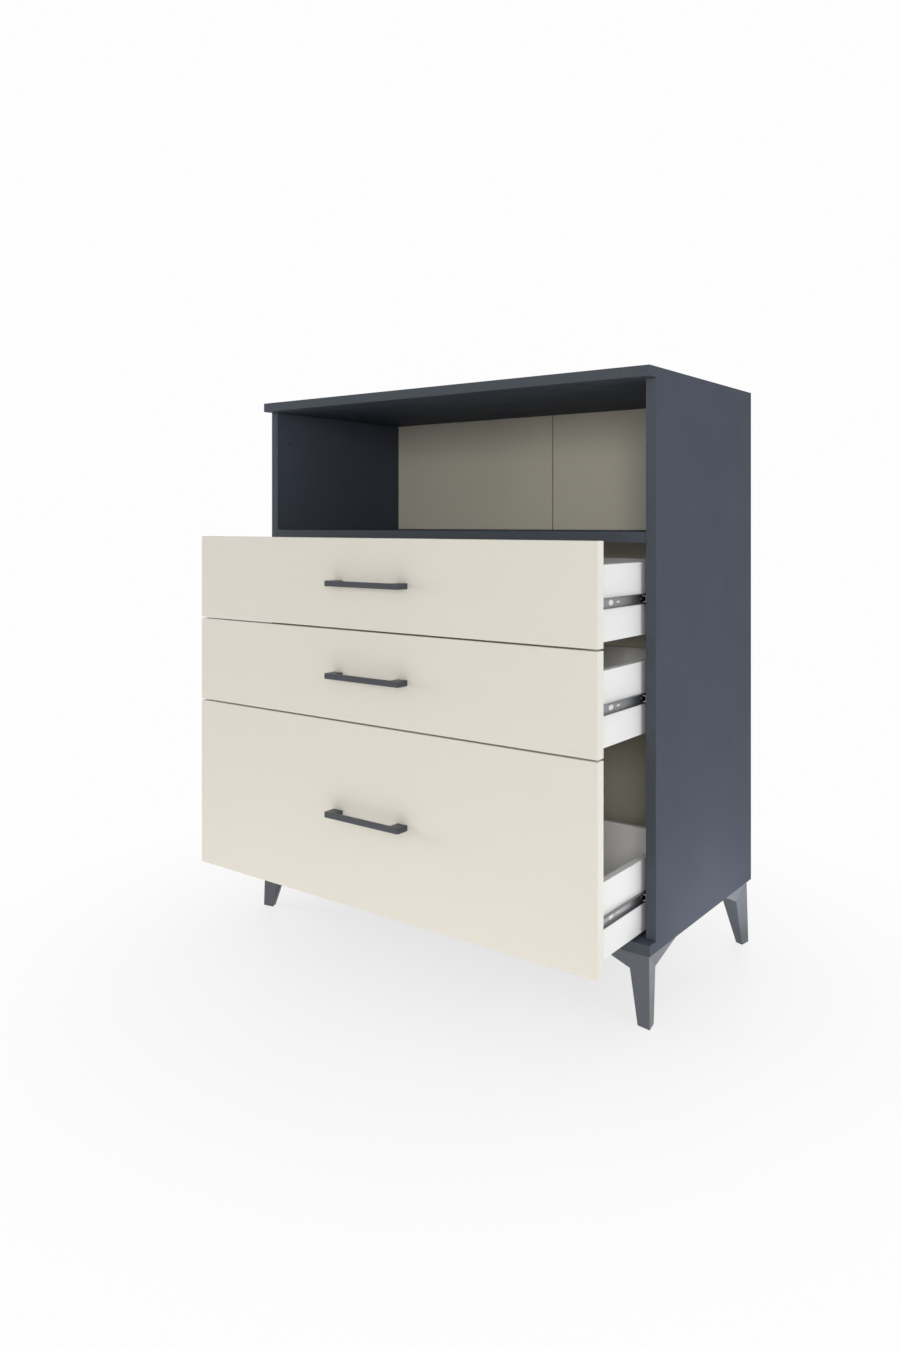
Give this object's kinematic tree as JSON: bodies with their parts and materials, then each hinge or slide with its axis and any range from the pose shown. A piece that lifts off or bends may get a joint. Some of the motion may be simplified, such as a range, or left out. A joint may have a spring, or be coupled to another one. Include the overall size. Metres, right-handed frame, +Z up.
{
  "type": "chest of drawers",
  "caption": "Commode chest with an open bay above drawers on ball-bearing slides, bar handles, an overhanging top and faceted corner legs.",
  "frame": {"origin": "middle of the floor under the whole chest, with its drawers drawn out as they stand at rest", "axes": "+Z up, the drawer fronts face -Y, +X to the right of someone who faces the fronts"},
  "size_m": [0.9, 0.6452, 1.073],
  "materials": {
    "anthracite_board": "anthracite melamine laminate, fine matt pore",
    "cream_board": "cream melamine laminate, smooth satin",
    "cream_sheet": "cream lacquered fibreboard, raw behind",
    "white_board": "white melamine laminate, satin",
    "leg_plastic": "moulded grey plastic, fine grained",
    "handle_paint": "anthracite powder coat",
    "rail_steel": "zinc plated, cold rolled",
    "cage_steel": "greased ball cage",
    "screw_steel": "zinc plated screw head",
    "seam_tape": "dark woven joining tape"
  },
  "bodies": {
    "carcass": {"bottom_panel": "anthracite_board", "top_panel": "anthracite_board", "left_side_panel": "anthracite_board", "right_side_panel": "anthracite_board", "fixed_shelf": "anthracite_board", "back_panel_left": "cream_sheet", "back_panel_right": "cream_sheet", "back_seam_tape": "seam_tape", "front_left_leg": "leg_plastic", "front_right_leg": "leg_plastic", "rear_left_leg": "leg_plastic", "rear_right_leg": "leg_plastic", "bottom_cabinet_rail_left": "rail_steel", "bottom_cabinet_rail_right": "rail_steel", "middle_cabinet_rail_left": "rail_steel", "middle_cabinet_rail_right": "rail_steel", "top_cabinet_rail_left": "rail_steel", "top_cabinet_rail_right": "rail_steel"},
    "bottom_drawer": {"bottom_drawer_front": "cream_board", "bottom_drawer_handle": "handle_paint", "bottom_drawer_handle_screw_left": "screw_steel", "bottom_drawer_handle_screw_right": "screw_steel", "bottom_drawer_side_left": "white_board", "bottom_drawer_side_right": "white_board", "bottom_drawer_back": "white_board", "bottom_drawer_floor": "cream_sheet", "bottom_drawer_rail_left": "rail_steel", "bottom_drawer_rail_right": "rail_steel"},
    "middle_drawer": {"middle_drawer_front": "cream_board", "middle_drawer_handle": "handle_paint", "middle_drawer_handle_screw_left": "screw_steel", "middle_drawer_handle_screw_right": "screw_steel", "middle_drawer_side_left": "white_board", "middle_drawer_side_right": "white_board", "middle_drawer_back": "white_board", "middle_drawer_floor": "cream_sheet", "middle_drawer_rail_left": "rail_steel", "middle_drawer_rail_right": "rail_steel"},
    "top_drawer": {"top_drawer_front": "cream_board", "top_drawer_handle": "handle_paint", "top_drawer_handle_screw_left": "screw_steel", "top_drawer_handle_screw_right": "screw_steel", "top_drawer_side_left": "white_board", "top_drawer_side_right": "white_board", "top_drawer_back": "white_board", "top_drawer_floor": "cream_sheet", "top_drawer_rail_left": "rail_steel", "top_drawer_rail_right": "rail_steel"},
    "bottom_ball_cages": {"bottom_ball_cage_left": "cage_steel", "bottom_ball_cage_right": "cage_steel"},
    "middle_ball_cages": {"middle_ball_cage_left": "cage_steel", "middle_ball_cage_right": "cage_steel"},
    "top_ball_cages": {"top_ball_cage_left": "cage_steel", "top_ball_cage_right": "cage_steel"}
  },
  "joints": [
    {"name": "bottom_drawer_slide", "type": "slide", "parent": "carcass", "child": "bottom_drawer", "axis": [0, -1, 0], "range_m": [-0.172, 0.088]},
    {"name": "middle_drawer_slide", "type": "slide", "parent": "carcass", "child": "middle_drawer", "axis": [0, -1, 0], "range_m": [-0.172, 0.088]},
    {"name": "top_drawer_slide", "type": "slide", "parent": "carcass", "child": "top_drawer", "axis": [0, -1, 0], "range_m": [-0.172, 0.088]},
    {"name": "bottom_cages_slide", "type": "slide", "parent": "carcass", "child": "bottom_ball_cages", "axis": [0, -1, 0], "range_m": [-0.0865, 0.0445]},
    {"name": "middle_cages_slide", "type": "slide", "parent": "carcass", "child": "middle_ball_cages", "axis": [0, -1, 0], "range_m": [-0.0865, 0.0445]},
    {"name": "top_cages_slide", "type": "slide", "parent": "carcass", "child": "top_ball_cages", "axis": [0, -1, 0], "range_m": [-0.0865, 0.0445]}
  ],
  "couplings": [
    {"joint": "bottom_cages_slide", "follows": "bottom_drawer_slide", "ratio": 0.5},
    {"joint": "middle_cages_slide", "follows": "middle_drawer_slide", "ratio": 0.5},
    {"joint": "top_cages_slide", "follows": "top_drawer_slide", "ratio": 0.5}
  ]
}
